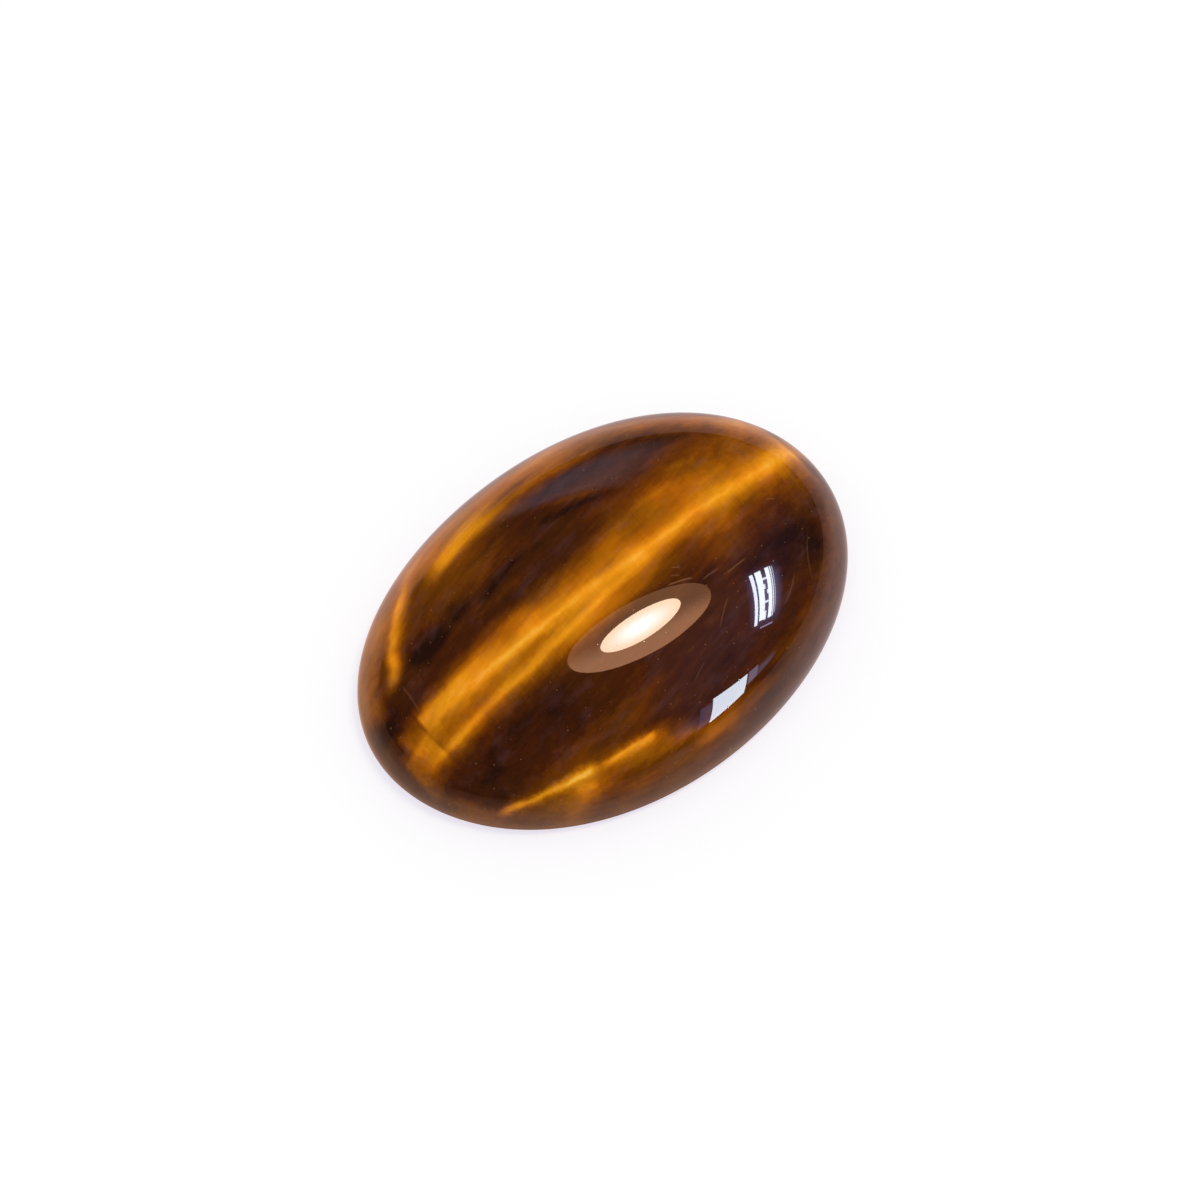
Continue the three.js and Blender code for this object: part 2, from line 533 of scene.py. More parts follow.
def band_tree():
    """A shader group that gives the level of one band at a place in plan, in millimetres."""
    inputs = [(name, VECTOR) for name in ("Place", "Start", "End")]
    inputs += [(input_name(field), NUMBER) for field in NUMBER_FIELDS]
    tree, given, result = open_tree("Band of colour", "ShaderNodeTree", inputs, ("Level", NUMBER))
    run = vectors(tree, "SUBTRACT", given["End"], given["Start"])
    direction = vectors(tree, "NORMALIZE", run)
    from_start = vectors(tree, "SUBTRACT", given["Place"], given["Start"])
    travelled = vectors(tree, "DOT_PRODUCT", from_start, direction)
    along = maths(tree, "DIVIDE", travelled, vectors(tree, "LENGTH", run), label="share of the run")
    heading = separate(tree, direction)
    left = combine(tree, times(tree, heading[1], -1.0), heading[0], 0.0)
    offset = vectors(tree, "DOT_PRODUCT", from_start, left)
    arch = times(tree, along, maths(tree, "SUBTRACT", 1.0, along))
    # The arch is a quarter high at its middle.
    bow = times(tree, times(tree, arch, 4.0), given["Bow"])
    across = maths(tree, "SUBTRACT", offset, bow, label="distance from the bowed line")
    upper = maths(tree, "GREATER_THAN", across, 0.0)
    wider = maths(tree, "SUBTRACT", given["Above"], given["Below"])
    side = maths(tree, "MULTIPLY_ADD", upper, wider, given["Below"])
    inside = add(tree, "ShaderNodeClamp", along)
    flare = maths(tree, "MULTIPLY_ADD", inside, maths(tree, "SUBTRACT", given["Flare"], 1.0), 1.0)
    width = times(tree, side, flare)
    widths_off = maths(tree, "DIVIDE", maths(tree, "ABSOLUTE", across), width)
    powered = maths(tree, "POWER", widths_off, given["Power"])
    falloff = maths(tree, "EXPONENT", times(tree, powered, -1.0))
    fade_in = ramp_share(tree, along, 0.0, given["Fade In"])
    fade_out = ramp_share(tree, maths(tree, "SUBTRACT", 1.0, along), 0.0, given["Fade Out"])
    ends = times(tree, fade_in, fade_out)
    level = times(tree, times(tree, falloff, ends), given["Strength"])
    put(tree, result, level)
    return tree


def lay_bands(tree, group, place, bands):
    """The levels of all these bands together."""
    total = None
    for band in bands:
        node = add(tree, "ShaderNodeGroup", label=band.name)
        node.node_tree = group
        put(tree, node.inputs["Place"], place)
        put(tree, node.inputs["Start"], (*band.start, 0.0))
        put(tree, node.inputs["End"], (*band.end, 0.0))
        for field in NUMBER_FIELDS:
            put(tree, node.inputs[input_name(field)], getattr(band, field))
        level = node.outputs["Level"]
        total = level if total is None else maths(tree, "ADD", total, level)
    return total


def noise(tree, place, stretch, detail=2.0, roughness=0.5, label=""):
    """Noise from 0 to 1 around a half, with this many waves to a millimetre along each axis."""
    scaled = vectors(tree, "MULTIPLY", place, stretch)
    node = add(
        tree, "ShaderNodeTexNoise", scaled, label=label, Scale=1.0, Detail=detail, Roughness=roughness
    )
    return node.outputs[0]


def swing(tree, value, amount):
    """Noise as a swing to both sides of zero."""
    return times(tree, maths(tree, "SUBTRACT", value, 0.5), 2 * amount)


# How the layers waver, in millimetres, and how many waves each has to a millimetre.
LAYER_WAVER = 0.13
LAYER_WAVES = (0.35, 0.5, 0.5)
EDGE_WAVER = 0.08
EDGE_WAVES = (1.0, 2.2, 2.2)
FIBRE_END_WAVER = 0.05
FIBRE_END_WAVES = (5.5, 0.5, 5.5)

# The clouds and wisps lean: they climb by this much toward the right.
LEAN = 0.20

# The fibres run across the stone, along its short axis.
FINE_FIBRES = (11.0, 0.7, 11.0)
COARSE_FIBRES = (2.6, 0.35, 2.6)
CLOUDS = (0.32, 1.2, 1.2)
WISPS = (0.8, 3.6, 3.6)
HUE_CLOUDS = (0.32, 0.5, 0.5)
HAZE_CLOUDS = (0.45, 1.3, 1.3)
FINE_FIBRE_LEVEL = 0.035
COARSE_FIBRE_LEVEL = 0.03
CLOUD_LEVEL = 0.15
WISP_LEVEL = 0.07
HAZE_STRENGTH = 0.10

# Values of noise, which lies mostly near a half, between which each effect sets in.
HAZE_STARTS = (0.50, 0.72)
HUE_TURNS = (0.35, 0.65)
FILM_TURNS = (0.30, 0.80)

# How much of the film covers the ground back, from its thinnest to its thickest.
FILM_SHARES = (0.15, 0.55)

# The height over which the ground back gives way to the polished dome, in millimetres.
DOME_STARTS = (0.25, 0.75)

# Small shifts of hue between redder and more olive stone.
RED_TINT = (1.04, 0.96, 0.98, 1.0)
OLIVE_TINT = (0.98, 1.04, 0.92, 1.0)

# Pale grains and open pits: cells to a millimetre, the mean radius as a share of
# a cell, the solid core and the smallest radius as shares of that, the share of
# the cells that stay empty, and how much of the pale colour the rest take on.
SPECK_CELLS = 1.7
SPECK_RADIUS = 0.065
SPECK_CORE = 0.2
SPECK_LEAST = 0.5
SPECK_RARITY = 0.70
SPECK_STRENGTH = 0.42


def hairline(name, start, end, bow, width, strength, fade_in=0.3, fade_out=0.3):
    """A thin band, as wide above its line as below."""
    return Band(name, start, end, bow, width, width, 2, strength, 1, fade_in, fade_out)


HAIRLINES = (
    hairline("healed fracture", (-10.45, 2.35), (-10.9, -0.6), 0.1, 0.035, 0.16, 0.15, 0.15),
    hairline("lamp scratch", (1.75, -2.22), (3.2, -2.62), 0.04, 0.03, 0.55, fade_out=0.2),
    hairline("first scratch", (2.55, -1.62), (2.95, -1.92), 0.03, 0.028, 0.35),
    hairline("second scratch", (2.2, -1.92), (2.75, -2.22), 0.03, 0.028, 0.28),
    hairline("flat scratch", (3.35, -2.92), (4.6, -2.88), 0.03, 0.03, 0.3),
    hairline("long scratch", (4.5, -3.28), (6.05, -3.1), 0.02, 0.032, 0.34, fade_in=0.25),
    hairline("amber scratch", (8.7, -1.1), (9.2, -1.28), 0.02, 0.03, 0.3),
    hairline("long arc, right", (8.2, -5.5), (9.8, -3.1), 0.22, 0.032, 0.14, 0.25, 0.35),
    hairline("short arc, right", (6.1, -5.75), (7.7, -4.6), -0.08, 0.03, 0.2),
    hairline("slanted scratch", (2.65, -5.25), (4.15, -4.1), 0.06, 0.028, 0.22),
    hairline("lower scratch", (0.2, -6.45), (1.3, -5.95), 0.05, 0.026, 0.18),
)

# The stone under its polish and the coat that stands for the polish, which is
# sharp on the dome and faint on the ground back. The depths are in metres.
BASE_ROUGHNESS_DOME = 0.42
BASE_ROUGHNESS_BACK = 0.55
FIBRE_ROUGHNESS_SWING = 0.10
COAT_ON_BACK = 0.10
COAT_ROUGHNESS = 0.02
QUARTZ_IOR = 1.54
FIBRE_ANISOTROPY = 0.65
GLOSS_UNDER_COAT = 0.0
PIT_DEPTH = 0.0015 * MM
FIBRE_DEPTH = 0.0012 * MM
GRIND_DEPTH = 0.004 * MM
GRIND_LINES = (14.0, 1.2, 1.0)


def level_colour(tree, level, colours):
    """The stone's colour at a level, through its named colours."""
    ramp = add(tree, "ShaderNodeValToRGB", level, label="from dark layers to bright fibres")
    elements = ramp.color_ramp.elements
    while len(elements) < len(COLOUR_STOPS):
        elements.new(0.5)
    for element, (name, position) in zip(elements, COLOUR_STOPS):
        element.position = position
        element.color = (*getattr(colours, name), 1.0)
    return ramp.outputs[0]


def mix_colour(tree, share, first, second, blend="MIX", label=""):
    """Mixes two colours."""
    node = add(tree, "ShaderNodeMix", label=label, data_type="RGBA", blend_type=blend)
    for name, value in (("Factor_Float", share), ("A_Color", first), ("B_Color", second)):
        socket = next(s for s in node.inputs if s.identifier == name)
        put(tree, socket, value)
    return next(s for s in node.outputs if s.identifier == "Result_Color")


def mix_number(tree, share, first, second):
    """Goes from the first number to the second as the share goes from 0 to 1."""
    return maths(tree, "MULTIPLY_ADD", share, second - first, first)


def start_material(name, sampled=False):
    """A material without nodes, and its node tree. Rays are aimed at a sampled one, which takes time."""
    material = bpy.data.materials.new(name)
    material.use_nodes = True
    material.cycles.emission_sampling = "AUTO" if sampled else "NONE"
    material.node_tree.nodes.clear()
    return material, material.node_tree


def show(name, mesh, material):
    """Puts a mesh with this material into the scene."""
    mesh.materials.append(material)
    piece = bpy.data.objects.new(name, mesh)
    bpy.context.scene.collection.objects.link(piece)
    return piece


def stone_material(colours):
    """Polished tiger's eye: banded stone under a clear polish, with its silky sheen painted into the
    colour, and a dull ground back.
    """
    material, tree = start_material("polished tigers eye", sampled=True)
    group = band_tree()

    here = add(tree, "ShaderNodeTexCoord").outputs["Object"]
    place = vectors(tree, "SCALE", here, label="place in millimetres")
    place.node.inputs["Scale"].default_value = 1 / MM
    height = separate(tree, place)[2]
    on_dome = ramp_share(tree, height, *DOME_STARTS, label="dome or back")

    waver = None
    for waves, amount, label in (
        (LAYER_WAVES, LAYER_WAVER, "wavering of the layers"),
        (EDGE_WAVES, EDGE_WAVER, "uneven edges of the bands"),
        (FIBRE_END_WAVES, FIBRE_END_WAVER, "ragged fibre ends"),
    ):
        part = swing(tree, noise(tree, place, waves, label=label), amount)
        waver = part if waver is None else maths(tree, "ADD", waver, part)
    wavered = vectors(tree, "ADD", place, combine(tree, 0.0, waver, 0.0))
    across, along, up = separate(tree, place)
    leaning = combine(tree, across, maths(tree, "MULTIPLY_ADD", across, -LEAN, along), up)

    fields = lay_bands(tree, group, wavered, FIELDS)
    # The silky lines are painted sheen: the fibres' glint painted into the colour, shown only on the dome.
    lines = lay_bands(tree, group, wavered, SHEEN_LINES)
    bands = maths(tree, "MULTIPLY_ADD", lines, on_dome, fields)

    fine = noise(tree, wavered, FINE_FIBRES, detail=3.0, roughness=0.6, label="fine fibres")
    coarse = noise(tree, wavered, COARSE_FIBRES, label="coarse fibres")
    clouds = noise(tree, leaning, CLOUDS, detail=3.0, roughness=0.6, label="clouds")
    wisps = noise(tree, leaning, WISPS, detail=3.0, roughness=0.6, label="wisps")
    level = maths(tree, "ADD", bands, PLAIN_LEVEL)
    for texture, amount in (
        (fine, FINE_FIBRE_LEVEL),
        (coarse, COARSE_FIBRE_LEVEL),
        (clouds, CLOUD_LEVEL),
        (wisps, WISP_LEVEL),
    ):
        level = maths(tree, "ADD", level, swing(tree, texture, amount))
    colour = level_colour(tree, level, colours)

    hue = noise(tree, place, HUE_CLOUDS, detail=1.0, label="redder or more olive")
    tint = mix_colour(tree, ramp_share(tree, hue, *HUE_TURNS), RED_TINT, OLIVE_TINT)
    colour = mix_colour(tree, 1.0, colour, tint, blend="MULTIPLY", label="hue")

    milky = noise(tree, leaning, HAZE_CLOUDS, detail=3.0, roughness=0.6, label="milky patches")
    haze = ramp_share(tree, milky, *HAZE_STARTS, 0.0, HAZE_STRENGTH)
    colour = mix_colour(tree, haze, colour, (*colours.haze, 1.0), label="haze")

    hairlines = lay_bands(tree, group, place, HAIRLINES)
    cells = add(
        tree, "ShaderNodeTexVoronoi", place, label="specks", voronoi_dimensions="2D", Scale=SPECK_CELLS
    )
    chance, size, _ = separate(tree, cells.outputs["Color"])
    radius = times(tree, maths(tree, "ADD", size, SPECK_LEAST), SPECK_RADIUS)
    radii_away = maths(tree, "DIVIDE", cells.outputs["Distance"], radius)
    close = ramp_share(tree, radii_away, 1.0, SPECK_CORE)
    chosen = maths(tree, "GREATER_THAN", chance, SPECK_RARITY)
    specks = times(tree, times(tree, close, chosen), SPECK_STRENGTH)
    marks = add(tree, "ShaderNodeClamp", maths(tree, "ADD", hairlines, specks), label="marks")
    marks_on_dome = times(tree, marks, on_dome)
    colour = mix_colour(tree, marks_on_dome, colour, (*colours.speck, 1.0), label="specks and hairlines")

    grind = noise(tree, place, GRIND_LINES, detail=4.0, roughness=0.65, label="grinding lines")
    on_back = maths(tree, "SUBTRACT", 1.0, on_dome)
    film = times(tree, on_back, ramp_share(tree, grind, *FILM_TURNS, *FILM_SHARES))
    colour = mix_colour(tree, film, colour, (*colours.ground, 1.0), label="film of the ground back")

    ends_swing = swing(tree, coarse, FIBRE_ROUGHNESS_SWING)
    base_roughness = mix_number(tree, on_dome, BASE_ROUGHNESS_BACK, BASE_ROUGHNESS_DOME)
    roughness = maths(tree, "ADD", base_roughness, ends_swing)
    ground_relief = times(tree, times(tree, grind, on_back), GRIND_DEPTH)
    relief = maths(tree, "ADD", times(tree, fine, FIBRE_DEPTH), ground_relief)
    silk_bump = add(tree, "ShaderNodeBump", label="fibre relief", Height=relief, Distance=1.0)
    polish_bump = add(
        tree,
        "ShaderNodeBump",
        label="pits",
        invert=True,
        Height=times(tree, specks, PIT_DEPTH),
        Distance=1.0,
    )
    surface = add(
        tree,
        "ShaderNodeBsdfPrincipled",
        label="polished stone",
        Base_Color=colour,
        Roughness=roughness,
        IOR=QUARTZ_IOR,
        Specular_IOR_Level=GLOSS_UNDER_COAT,
        Anisotropic=FIBRE_ANISOTROPY,
        Tangent=combine(tree, 1.0, 0.0, 0.0),
        Normal=silk_bump,
        Coat_Weight=mix_number(tree, on_dome, COAT_ON_BACK, 1.0),
        Coat_Roughness=COAT_ROUGHNESS,
        Coat_IOR=QUARTZ_IOR,
        Coat_Normal=polish_bump,
    )
    add(tree, "ShaderNodeOutputMaterial", surface)
    return material


def cut_stone(shape, material):
    """Cuts the stone with the geometry nodes and returns it as a plain mesh."""
    tree = cut_tree(shape)
    blank = bpy.data.objects.new("blank", bpy.data.meshes.new("blank"))
    bpy.context.scene.collection.objects.link(blank)
    modifier = blank.modifiers.new("cut", "NODES")
    modifier.node_group = tree
    values = {prop.name: getattr(shape, prop.identifier) for prop in own_properties(shape)}
    values["Material"] = material
    for item in tree.interface.items_tree:
        if item.item_type == "SOCKET" and item.in_out == "INPUT" and item.name in values:
            modifier[item.identifier] = values[item.name]
    depsgraph = bpy.context.evaluated_depsgraph_get()
    mesh = bpy.data.meshes.new_from_object(blank.evaluated_get(depsgraph))
    blank_mesh = blank.data
    bpy.data.objects.remove(blank)
    bpy.data.meshes.remove(blank_mesh)
    if not mesh.polygons:
        raise RuntimeError("the stone came out empty")
    mesh.name = "polished_cabochon"
    mesh.materials.clear()
    return show("polished_cabochon", mesh, material)


# The lamp as the stone sees it: where its parts stand, as azimuth anticlockwise
# from +X and elevation in degrees, how far off, and how long and wide they look
# from there in degrees. Roll turns an oval about the line to the stone. It goes
# from its first to its second colour: the shade from one side to the other, and
# the core out from its middle. Only the core lights the table.
Lamp = namedtuple(
    "Lamp",
    "name azimuth elevation distance length width roll first second radiance lights_table",
)

SHADE_BRIGHT = (0.91, 0.43, 0.23)
SHADE_DIM = (0.34, 0.17, 0.09)
CORE_MIDDLE = (1.0, 0.95, 0.92)
CORE_EDGE = (0.86, 0.60, 0.42)

LAMP_PARTS = (
    Lamp("lamp shade", -28.6, 74.7, 3.1, 35.6, 22.2, -81.0, SHADE_BRIGHT, SHADE_DIM, 6.3, False),
    Lamp("lamp core", -24.4, 74.8, 3.0, 19.5, 11.1, -74.0, CORE_MIDDLE, CORE_EDGE, 26.0, True),
)

# Panels that only show as reflections. They stand this far off, in metres, and
# their four corners are directions from the stone, as azimuth and elevation in
# degrees, anticlockwise from the low left one. Each pane spans a share of the
# panel's breadth and of its height. Its softness is the share of its size over
# which it fades out at its edges.
Panel = namedtuple("Panel", "name distance corners panes")
Pane = namedtuple("Pane", "left right low high softness colour radiance")

SKY = (0.78, 0.87, 1.0)
DUSK = (0.42, 0.45, 1.0)
CURTAIN = (0.62, 0.62, 1.0)
WALL = (1.0, 0.70, 0.84)

PANELS = (
    Panel(
        "wide window",
        3.0,
        ((-41.5, 26.0), (-19.2, 36.3), (-20.1, 45.4), (-44.8, 33.9)),
        (
            Pane(0, 1, 0.86, 1, 0.02, SKY, 22),
            Pane(0.06, 1.01, 0.54, 0.79, 0.02, SKY, 24),
            Pane(0.05, 1.02, 0.18, 0.36, 0.02, SKY, 24),
            Pane(0.05, 1.02, 0.09, 0.15, 0.02, SKY, 18),
            Pane(0.08, 1.02, 0, 0.05, 0.05, SKY, 9),
            Pane(0.8, 0.84, 0.34, 0.56, 0.02, SKY, 20),
            Pane(0.62, 0.72, 0.47, 0.56, 0.05, SKY, 20),
            Pane(0.52, 0.6, 0.34, 0.42, 0.05, SKY, 20),
            Pane(0.36, 0.4, 0.34, 0.56, 0.02, SKY, 20),
            Pane(0.05, 0.22, 0.46, 0.56, 0.05, SKY, 20),
            Pane(-0.09, -0.06, 0, 0.7, 0.05, CURTAIN, 8),
            Pane(-0.16, 1.14, -0.5, 1.34, 0.35, DUSK, 3.4),
        ),
    ),
    Panel(
        "tall window",
        3.0,
        ((-74.7, 6.6), (-63.9, 6.3), (-59.5, 16.9), (-69.6, 22.8)),
        (
            Pane(0, 1, 0, 1, 0.02, SKY, 17),
            Pane(1.02, 1.36, 0.3, 1.04, 0.1, CURTAIN, 3.2),
            Pane(1.02, 2.1, 0.2, 1.04, 0.4, CURTAIN, 1.4),
            Pane(-0.36, 0.01, 0, 0.95, 0.15, DUSK, 1.4),
            Pane(-1.2, 0.01, 0, 0.95, 0.45, DUSK, 0.6),
        ),
    ),
    Panel(
        "window wall",
        7.0,
        ((-88.0, 4.0), (22.0, 4.0), (22.0, 62.0), (-88.0, 62.0)),
        (Pane(0, 1, 0, 1, 0.5, DUSK, 0.22),),
    ),
    Panel(
        "far wall",
        3.0,
        ((86.0, 3.0), (42.0, 3.0), (49.0, 38.0), (82.0, 18.0)),
        (Pane(0, 1, 0, 1, 0.38, WALL, 0.62),),
    ),
)

# How far each pane of a panel stands behind the one before it.
PANE_STEP = 0.01

# The least share over which anything fades: a fade over nothing is no fade.
SHARPEST = 0.001

# Where the lamp shade goes from bright to dim, as shares of its width.
SHADE_TURNS = (0.25, 0.65)

# The dim room in reflections, and the tent of soft light over the stone and the
# table, which is brighter on one side.
ROOM_COLOUR = (0.035, 0.030, 0.032)
BACKDROP_COLOUR = (1.0, 1.0, 1.0)
TENT_RADIUS = 4.0
TENT_RINGS = 6
TENT_DIM = (0.50, 0.50, 0.53)
TENT_BRIGHT = (0.92, 0.91, 0.90)
BRIGHT_AZIMUTH = 50
BRIGHT_ELEVATION = 25

# The table top: its own faint glow, and how it shows in the stone's polish. There
# it has one colour toward the mirrored azimuth, on the left, and another across
# from it, and turns from this to that as the share of left goes through its
# starts. It is as strong as near beside the stone. Beyond the reach, in metres,
# it falls with distance, down to far.
TABLE_GLOW = (0.70, 0.64, 0.75)
MIRRORED_LEFT = (0.76, 0.46, 0.34)
MIRRORED_RIGHT = (0.70, 0.55, 0.54)
MIRRORED_AZIMUTH = 210
LEFT_STARTS = (-0.2, 0.8)
REACH_LEFT = 3.0 * MM
REACH_RIGHT = 7.0 * MM
MIRROR_NEAR = 1.2
MIRROR_FAR_LEFT = 0.25
MIRROR_FAR_RIGHT = 0.42

# How many straight sides a round sheet has.
ROUND_STEPS = 64

# The camera's sensor in millimetres, and how near and far it sees in metres.
SENSOR_WIDTH = 36
NEAREST = 0.01
FARTHEST = 10


def toward(azimuth, elevation):
    """The direction at an azimuth, anticlockwise from +X, and an elevation, in degrees."""
    turn, climb = math.radians(azimuth), math.radians(elevation)
    flat = math.cos(climb)
    return Vector((math.cos(turn) * flat, math.sin(turn) * flat, math.sin(climb)))


def glow_material(name, first, second, radiance, softness=0, lights_table=False):
    """A glowing surface that fades out at its rim.

    One that lights the table goes from its first to its second colour out from
    its middle. Any other does so sideways, and only shows in reflections.
    """
    material, tree = start_material(name, sampled=lights_table)
    spot = separate(tree, add(tree, "ShaderNodeTexCoord").outputs["UV"])
    to_side = [maths(tree, "MULTIPLY_ADD", part, 2.0, -1.0) for part in spot[:2]]
    to_side = [maths(tree, "ABSOLUTE", part) for part in to_side]
    inside = [maths(tree, "SUBTRACT", 1.0, part) for part in to_side]
    fades = [ramp_share(tree, part, -SHARPEST, 2 * softness) for part in inside]
    fade = times(tree, *fades)
    if lights_table:
        off_middle = vectors(tree, "LENGTH", combine(tree, *to_side, 0.0))
        share = ramp_share(tree, off_middle, 0.0, 1.0)
    else:
        share = ramp_share(tree, spot[1], *SHADE_TURNS)
    colour = mix_colour(tree, share, (*first, 1.0), (*second, 1.0))
    light = add(tree, "ShaderNodeEmission", colour, radiance)
    clear = add(tree, "ShaderNodeBsdfTransparent")
    sheet = add(tree, "ShaderNodeMixShader", fade, clear, light)
    add(tree, "ShaderNodeOutputMaterial", sheet if softness else light)
    return material


def hang_sheet(name, corners, spots, material, lights_table):
    """A flat glowing sheet between these corners, out of the camera's sight.

    The spots are the corners' UV places.
    """
    mesh = bpy.data.meshes.new(name)
    mesh.from_pydata(corners, [], [range(len(corners))])
    layer = mesh.uv_layers.new(name="sheet")
    for corner, spot in zip(layer.data, spots):
        corner.uv = spot
    sheet = show(name, mesh, material)
    sheet.visible_camera = False
    sheet.visible_diffuse = lights_table


def hang_lamp(lamp):
    """One oval part of the lamp, which faces the stone."""
    half_length = lamp.distance * math.tan(math.radians(lamp.length / 2))
    half_width = lamp.distance * math.tan(math.radians(lamp.width / 2))
    away = toward(lamp.azimuth, lamp.elevation)
    side = Vector((-away.y, away.x, 0.0)).normalized()
    rise = away.cross(side)
    roll = math.radians(lamp.roll)
    lengthways = side * math.cos(roll) + rise * math.sin(roll)
    widthways = rise * math.cos(roll) - side * math.sin(roll)
    corners = []
    spots = []
    for step in range(ROUND_STEPS):
        turn = 2 * math.pi * step / ROUND_STEPS
        across, up = math.cos(turn), math.sin(turn)
        out = lengthways * half_length * across + widthways * half_width * up
        corners.append(away * lamp.distance + out)
        spots.append((0.5 + across / 2, 0.5 + up / 2))
    glow = (lamp.first, lamp.second, lamp.radiance)
    material = glow_material(lamp.name, *glow, lights_table=lamp.lights_table)
    hang_sheet(lamp.name, corners, spots, material, lamp.lights_table)


def hang_panel(panel):
    """The panes of one panel, each a little nearer than the next."""
    low_left, low_right, high_right, high_left = [toward(*corner) for corner in panel.corners]
    for number, pane in enumerate(panel.panes):
        distance = panel.distance + number * PANE_STEP
        corners = []
        for across, up in (
            (pane.left, pane.low),
            (pane.right, pane.low),
            (pane.right, pane.high),
            (pane.left, pane.high),
        ):
            low = low_left.lerp(low_right, across)
            high = high_left.lerp(high_right, across)
            corners.append(low.lerp(high, up) * distance)
        name = f"{panel.name} {number + 1}"
        material = glow_material(name, pane.colour, pane.colour, pane.radiance, pane.softness)
        hang_sheet(name, corners, ((0, 0), (1, 0), (1, 1), (0, 1)), material, False)


def table_material(colour):
    """Smooth, matt, pale table top, warmer and dimmer where it is mirrored in the polish."""
    material, tree = start_material("pale table")
    matt = add(tree, "ShaderNodeBsdfDiffuse", (*colour, 1.0))
    faint_glow = add(tree, "ShaderNodeEmission", (*TABLE_GLOW, 1.0), 1.0)
    surface = add(tree, "ShaderNodeAddShader", matt, faint_glow)
    place = add(tree, "ShaderNodeTexCoord").outputs["Object"]
    left = tuple(toward(MIRRORED_AZIMUTH, 0))
    leftward = vectors(tree, "DOT_PRODUCT", vectors(tree, "NORMALIZE", place), left)
    on_left = ramp_share(tree, leftward, *LEFT_STARTS)
    reach = mix_number(tree, on_left, REACH_RIGHT, REACH_LEFT)
    tone = mix_colour(tree, on_left, (*MIRRORED_RIGHT, 1.0), (*MIRRORED_LEFT, 1.0))
    radii = (2 / STONE_SIZE.x, 2 / STONE_SIZE.y, 0.0)
    radii_out = vectors(tree, "LENGTH", vectors(tree, "MULTIPLY", place, radii))
    radii_off = maths(tree, "MAXIMUM", maths(tree, "SUBTRACT", radii_out, 1.0), SHARPEST)
    mean_radius = (STONE_SIZE.x + STONE_SIZE.y) / 4
    off_stone = times(tree, radii_off, mean_radius)
    near = maths(tree, "MINIMUM", maths(tree, "DIVIDE", reach, off_stone), 1.0)
    far = mix_number(tree, on_left, MIRROR_FAR_RIGHT, MIRROR_FAR_LEFT)
    nearer = maths(tree, "SUBTRACT", MIRROR_NEAR, far)
    strength = maths(tree, "MULTIPLY_ADD", near, nearer, far)
    mirrored = add(tree, "ShaderNodeEmission", tone, strength, label="as mirrored in the polish")
    ray = add(tree, "ShaderNodeLightPath").outputs["Is Glossy Ray"]
    mixed = add(tree, "ShaderNodeMixShader", ray, surface, mirrored)
    add(tree, "ShaderNodeOutputMaterial", mixed)
    return material


def lay_table(studio):
    """A round, flat table top with the stone at its middle."""
    mesh = bpy.data.meshes.new("table")
    turns = [2 * math.pi * step / ROUND_STEPS for step in range(ROUND_STEPS)]
    radius = studio.table_radius
    points = [(radius * math.cos(turn), radius * math.sin(turn), 0.0) for turn in turns]
    mesh.from_pydata(points, [], [range(ROUND_STEPS)])
    table = show("table", mesh, table_material(studio.table_colour))


def tent_material():
    """Soft light that is brighter on one side of the tent."""
    material, tree = start_material("soft light")
    place = add(tree, "ShaderNodeTexCoord").outputs["Object"]
    bright_side = tuple(toward(BRIGHT_AZIMUTH, BRIGHT_ELEVATION))
    facing = vectors(tree, "DOT_PRODUCT", vectors(tree, "NORMALIZE", place), bright_side)
    share = ramp_share(tree, facing, -1.0, 1.0)
    colour = mix_colour(tree, share, (*TENT_DIM, 1.0), (*TENT_BRIGHT, 1.0))
    light = add(tree, "ShaderNodeEmission", colour, 1.0)
    add(tree, "ShaderNodeOutputMaterial", light)
    return material


def pitch_tent():
    """A dome of soft light over the table, which shows neither to the camera nor in reflections."""
    mesh = bpy.data.meshes.new("light tent")
    points = []
    faces = []
    for ring in range(TENT_RINGS):
        climb = 90 * ring / TENT_RINGS
        points += [toward(360 * step / ROUND_STEPS, climb) * TENT_RADIUS for step in range(ROUND_STEPS)]
    top = len(points)
    points.append(Vector((0.0, 0.0, TENT_RADIUS)))
    for ring in range(TENT_RINGS):
        for step in range(ROUND_STEPS):
            here = ring * ROUND_STEPS + step
            beside = ring * ROUND_STEPS + (step + 1) % ROUND_STEPS
            if ring + 1 < TENT_RINGS:
                faces.append((here, here + ROUND_STEPS, beside + ROUND_STEPS, beside))
            else:
                faces.append((here, top, beside))
    mesh.from_pydata(points, [], faces)
    tent = show("light tent", mesh, tent_material())
    tent.visible_camera = False
    tent.visible_glossy = False


def fill_room():
    """A dim room around the table, which the camera sees as a white backdrop."""
    world = bpy.data.worlds.new("room")
    world.use_nodes = True
    tree = world.node_tree
    tree.nodes.clear()
    ray = add(tree, "ShaderNodeLightPath").outputs
    colour = mix_colour(tree, ray["Is Camera Ray"], (*ROOM_COLOUR, 1.0), (*BACKDROP_COLOUR, 1.0))
    background = add(tree, "ShaderNodeBackground", colour)
    add(tree, "ShaderNodeOutputWorld", background)
    bpy.context.scene.world = world


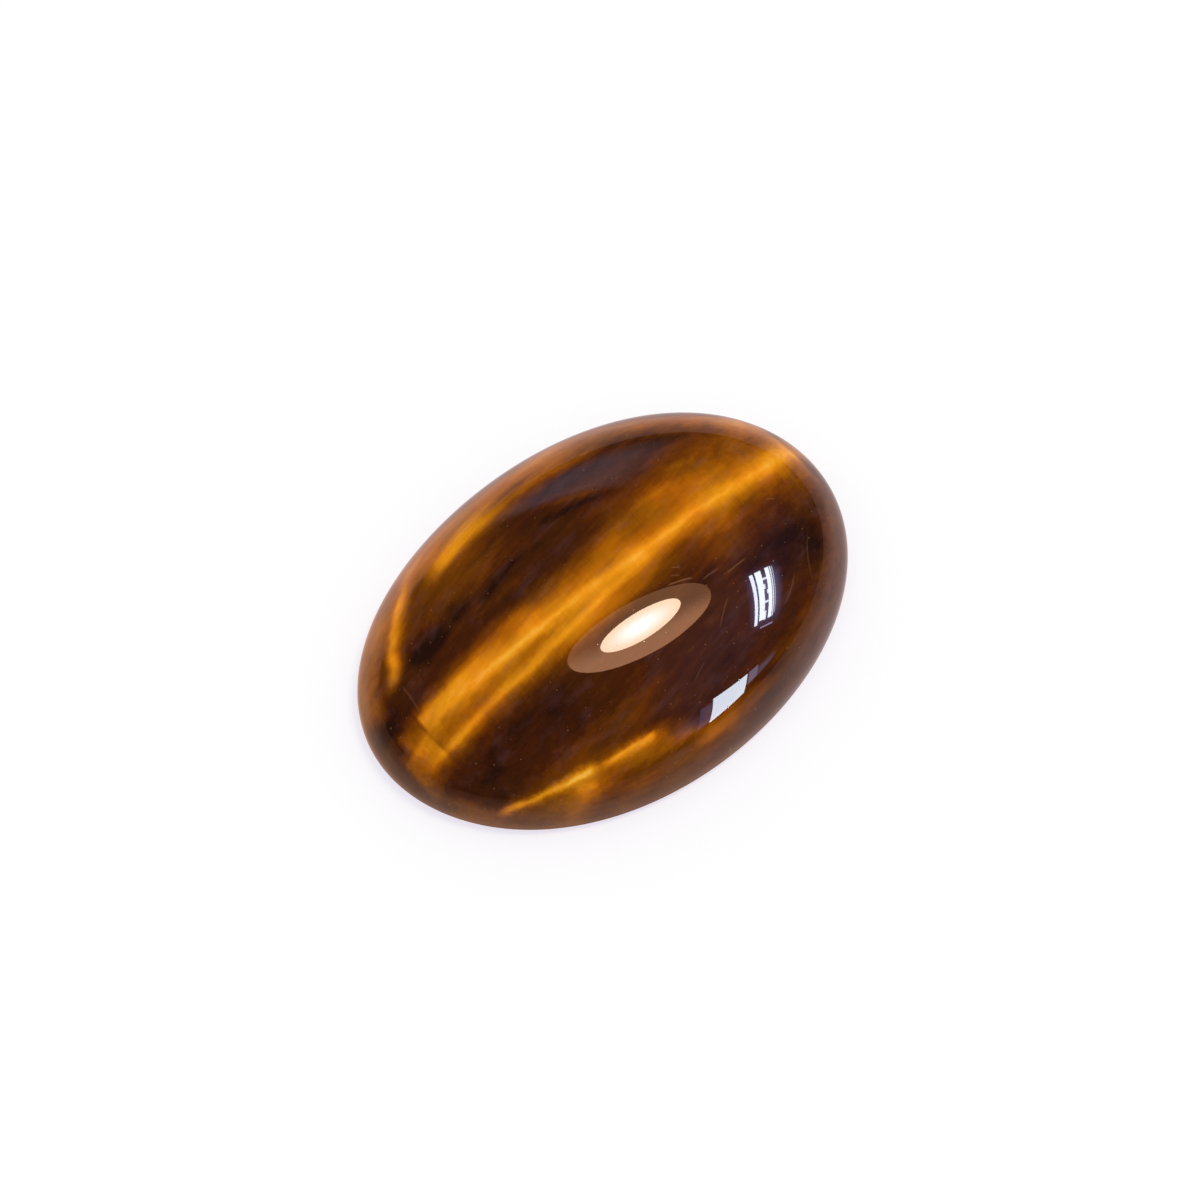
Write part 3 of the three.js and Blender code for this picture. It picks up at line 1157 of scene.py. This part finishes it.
def set_camera(studio):
    """The camera, looking down on the stone from one side."""
    data = bpy.data.cameras.new("camera")
    data.lens = studio.lens
    data.sensor_width = SENSOR_WIDTH
    data.clip_start = NEAREST
    data.clip_end = FARTHEST
    camera = bpy.data.objects.new("camera", data)
    flat = math.cos(studio.elevation)
    back = Vector(
        (
            math.sin(studio.azimuth) * flat,
            -math.cos(studio.azimuth) * flat,
            math.sin(studio.elevation),
        )
    )
    right = Vector((math.cos(studio.azimuth), math.sin(studio.azimuth), 0.0))
    up = back.cross(right)
    aim = Vector((0.0, 0.0, studio.aim_height))
    camera.location = aim + back * studio.distance + right * studio.step_right + up * studio.step_up
    camera.rotation_mode = "QUATERNION"
    camera.rotation_quaternion = (-back).to_track_quat("-Z", "Y")
    bpy.context.scene.collection.objects.link(camera)
    bpy.context.scene.camera = camera


class CABOCHON_OT_cut_stone(bpy.types.Operator):
    """Cut and polish the stone in place of its plain solid"""

    bl_idname = "cabochon.cut_stone"
    bl_label = "Cut and Polish Stone"

    def execute(self, context):
        scene = context.scene
        material = stone_material(scene.cabochon_colours)
        stone = cut_stone(scene.cabochon_shape, material)
        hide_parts(STONE_NODE)
        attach(stone, "root")
        return {"FINISHED"}


class CABOCHON_OT_set_studio(bpy.types.Operator):
    """Lay the table, hang the lights and set the camera"""

    bl_idname = "cabochon.set_studio"
    bl_label = "Set Table, Light and Camera"

    def execute(self, context):
        studio = context.scene.cabochon_studio
        lay_table(studio)
        for lamp in LAMP_PARTS:
            hang_lamp(lamp)
        for panel in PANELS:
            hang_panel(panel)
        pitch_tent()
        fill_room()
        set_camera(studio)
        context.scene.view_settings.view_transform = "Standard"
        return {"FINISHED"}


class CABOCHON_PT_maker(bpy.types.Panel):
    """Sizes, colours and steps of the cabochon"""

    bl_idname = "CABOCHON_PT_maker"
    bl_label = "Tiger's Eye Cabochon"
    bl_space_type = "VIEW_3D"
    bl_region_type = "UI"
    bl_category = "Cabochon"

    def draw(self, context):
        layout = self.layout
        scene = context.scene
        for group, operator in (
            (scene.cabochon_shape, None),
            (scene.cabochon_colours, CABOCHON_OT_cut_stone.bl_idname),
            (scene.cabochon_studio, CABOCHON_OT_set_studio.bl_idname),
        ):
            box = layout.box()
            for prop in own_properties(group):
                box.prop(group, prop.identifier)
            if operator:
                box.operator(operator)


CLASSES = (
    CABOCHON_PG_shape,
    CABOCHON_PG_colours,
    CABOCHON_PG_studio,
    CABOCHON_OT_cut_stone,
    CABOCHON_OT_set_studio,
    CABOCHON_PT_maker,
)


def register():
    for cls in CLASSES:
        bpy.utils.register_class(cls)
    bpy.types.Scene.cabochon_shape = PointerProperty(type=CABOCHON_PG_shape)
    bpy.types.Scene.cabochon_colours = PointerProperty(type=CABOCHON_PG_colours)
    bpy.types.Scene.cabochon_studio = PointerProperty(type=CABOCHON_PG_studio)


def unregister():
    del bpy.types.Scene.cabochon_studio
    del bpy.types.Scene.cabochon_colours
    del bpy.types.Scene.cabochon_shape
    for cls in reversed(CLASSES):
        bpy.utils.unregister_class(cls)


def corners(box):
    """A box's lowest and highest corners as plain lists."""
    return [list(corner) for corner in box]


def main():
    register()
    bpy.ops.cabochon.cut_stone()
    bpy.ops.cabochon.set_studio()


if __name__ == "__main__":
    main()
